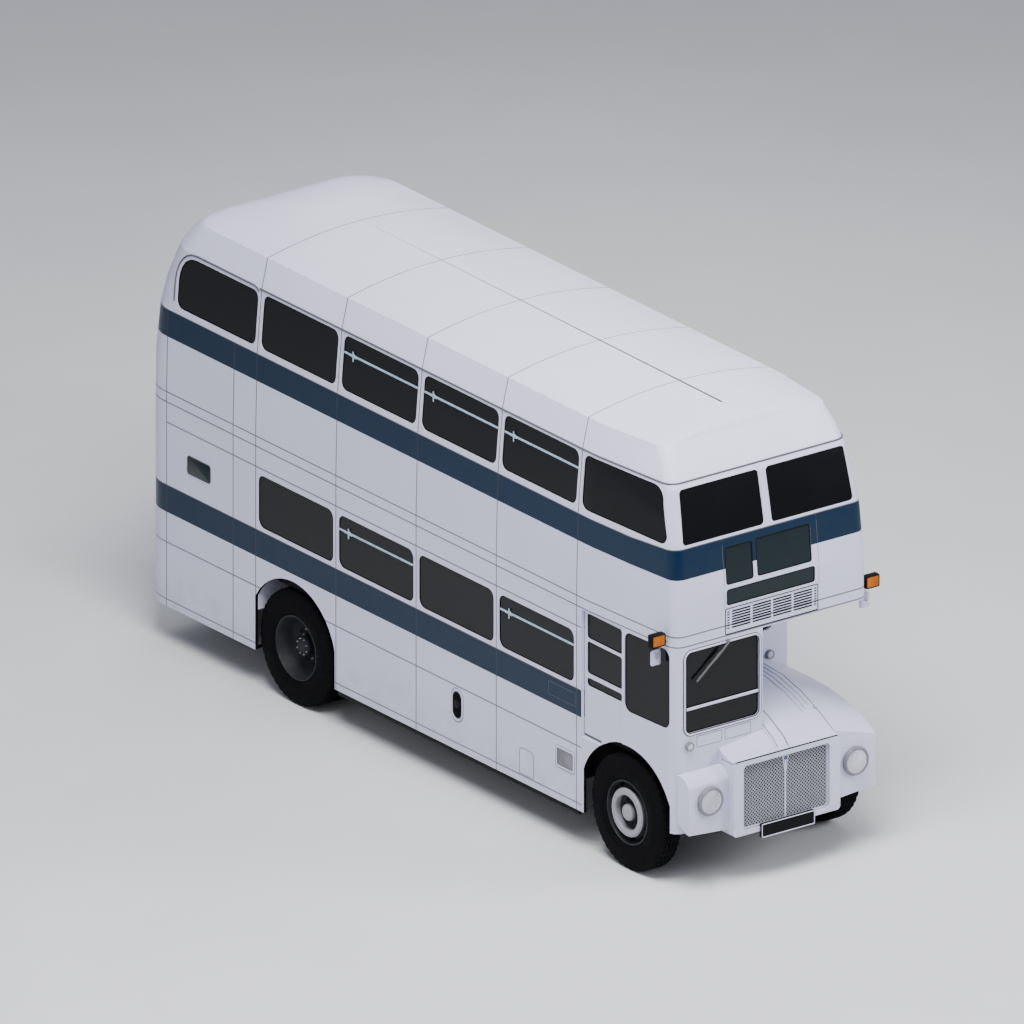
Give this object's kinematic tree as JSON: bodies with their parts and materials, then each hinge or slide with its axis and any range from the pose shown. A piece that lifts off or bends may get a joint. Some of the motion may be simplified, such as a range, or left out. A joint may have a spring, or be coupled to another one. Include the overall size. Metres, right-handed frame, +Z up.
{
  "type": "double decker bus",
  "caption": "Half-cab double decker bus with an open rear platform, dark windows, a bonnet beside the cab, twin rear wheels and steered front wheels.",
  "frame": {"origin": "on the ground, under the middle of the bounding box", "axes": "+X to the front of the bus, +Y to its left (nearside), +Z up"},
  "size_m": [8.55, 2.66, 4.4194],
  "materials": {
    "white_paint": "gloss coach paint, white with two teal bands",
    "roof_paint": "gloss coach paint, white",
    "floor_cover": "ribbed dark floor covering",
    "grille_metal": "pressed mesh",
    "lamp_glass": "clear lamp glass",
    "red_lens": "red lens",
    "black_plastic": "black",
    "mirror_back": "grey enamel",
    "plate": "black enamel",
    "dark_glass": "dark tinted glass",
    "blind_glass": "dark glass over a blank blind",
    "seat_frame": "black enamel tube",
    "moquette": "teal moquette",
    "black_rim": "black moulded rim",
    "rail_steel": "polished tube",
    "engine_iron": "painted casting",
    "chassis_black": "black chassis paint",
    "tyre": "black rubber",
    "wheel_paint": "black wheel paint"
  },
  "bodies": {
    "body": {"lower_side_right": "white_paint", "lower_side_left": "white_paint", "lower_rear": "white_paint", "upper_side_right": "white_paint", "upper_side_left": "white_paint", "upper_front": "white_paint", "upper_rear": "white_paint", "roof": "roof_paint", "canopy": "white_paint", "lower_floor": "floor_cover", "platform": "floor_cover", "upper_floor": "floor_cover", "staircase": "floor_cover", "bulkheads": "white_paint", "cab_front": "white_paint", "cab_side": "white_paint", "cab_inner_wall": "white_paint", "cab_floor": "floor_cover", "front_wings": "white_paint", "radiator_shell": "white_paint", "radiator_grille": "grille_metal", "bonnet_side": "white_paint", "front_lamps": "lamp_glass", "tail_lamps": "red_lens", "indicators": "black_plastic", "mirrors": "mirror_back", "number_plates": "plate", "window_glass": "dark_glass", "cab_glass": "dark_glass", "blind_glass": "blind_glass", "seat_frames": "seat_frame", "seat_cushions": "moquette", "steering_wheel": "black_rim", "handrails": "rail_steel", "engine": "engine_iron", "chassis": "chassis_black", "front_axle": "chassis_black", "rear_axle": "chassis_black", "tow_eyes": "chassis_black"},
    "cab_door": {"cab_door": "white_paint", "cab_door_glass": "dark_glass"},
    "bonnet": {"bonnet": "white_paint"},
    "emergency_window": {"emergency_window": "white_paint", "emergency_glass": "dark_glass"},
    "knuckle_right": {"knuckle_right": "chassis_black"},
    "knuckle_left": {"knuckle_left": "chassis_black"},
    "front_wheel_right": {"front_tyre_right": "tyre", "front_wheel_right": "wheel_paint"},
    "front_wheel_left": {"front_tyre_left": "tyre", "front_wheel_left": "wheel_paint"},
    "rear_wheel_right": {"rear_tyres_right": "tyre", "rear_wheels_right": "wheel_paint"},
    "rear_wheel_left": {"rear_tyres_left": "tyre", "rear_wheels_left": "wheel_paint"}
  },
  "joints": [
    {"name": "front_left_steer", "type": "hinge", "parent": "body", "child": "knuckle_left", "pos_m": [3.299, 0.96, 0.574], "axis": [0, 0, 1], "range_deg": [-35, 35]},
    {"name": "front_left_spin", "type": "hinge", "parent": "knuckle_left", "child": "front_wheel_left", "pos_m": [3.299, 1.05, 0.574], "axis": [0, 1, 0], "continuous": true},
    {"name": "rear_left_spin", "type": "hinge", "parent": "body", "child": "rear_wheel_left", "pos_m": [-1.878, 0.915, 0.574], "axis": [0, 1, 0], "continuous": true},
    {"name": "front_right_steer", "type": "hinge", "parent": "body", "child": "knuckle_right", "pos_m": [3.299, -0.96, 0.574], "axis": [0, 0, 1], "range_deg": [-35, 35]},
    {"name": "front_right_spin", "type": "hinge", "parent": "knuckle_right", "child": "front_wheel_right", "pos_m": [3.299, -1.05, 0.574], "axis": [0, 1, 0], "continuous": true},
    {"name": "rear_right_spin", "type": "hinge", "parent": "body", "child": "rear_wheel_right", "pos_m": [-1.878, -0.915, 0.574], "axis": [0, 1, 0], "continuous": true},
    {"name": "cab_door_slide", "type": "slide", "parent": "body", "child": "cab_door", "axis": [-1, 0, 0], "range_m": [0, 0.56]},
    {"name": "bonnet_hinge", "type": "hinge", "parent": "body", "child": "bonnet", "pos_m": [3.407, 0.03, 1.64], "axis": [1, 0, 0], "range_deg": [0, 60]},
    {"name": "emergency_window_hinge", "type": "hinge", "parent": "body", "child": "emergency_window", "pos_m": [-4.039, 0, 3.941], "axis": [0, 1, 0], "range_deg": [0, 80]}
  ],
  "couplings": [
    {"joint": "front_right_steer", "follows": "front_left_steer", "ratio": 1}
  ]
}
